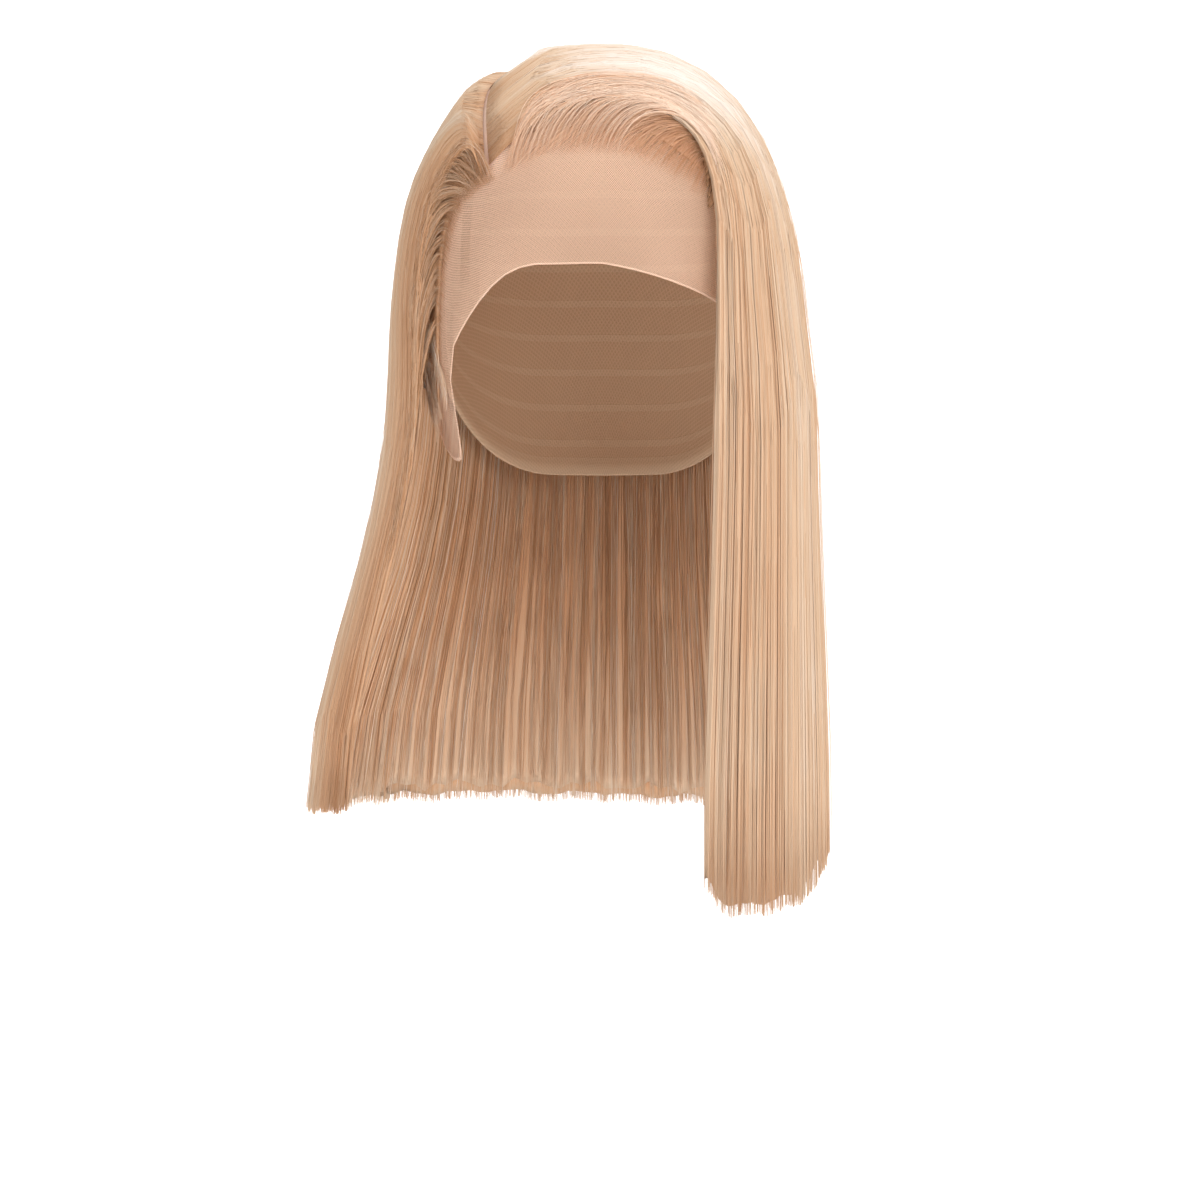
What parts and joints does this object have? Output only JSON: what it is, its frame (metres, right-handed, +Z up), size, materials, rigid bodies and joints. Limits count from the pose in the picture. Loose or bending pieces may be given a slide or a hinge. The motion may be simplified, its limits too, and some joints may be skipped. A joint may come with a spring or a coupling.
{
  "type": "bob wig",
  "caption": "Straight bob wig with a side parting: a sheer lace front and stretch cap that fit over the head, covered by smooth long hair that sweeps across the brow.",
  "frame": {"origin": "the point where the crown of the wearer's head meets the inside of the lace", "axes": "+Z up, -Y the way the wearer's face looks, +X the wearer's left"},
  "size_m": [0.2327, 0.2167, 0.3741],
  "materials": {
    "lace": "sheer net",
    "cap_net": "matt stretch net",
    "hair_light": "silky straight hair",
    "hair_golden": "silky straight hair"
  },
  "bodies": {
    "root": {"lace_front": "lace", "wefted_cap": "cap_net", "side_hair": "hair_golden", "back_hair": "hair_light", "sweep_hair": "hair_light", "nape_hair": "hair_golden", "hairline_hair": "hair_golden", "temple_waves": "hair_golden"}
  },
  "joints": []
}
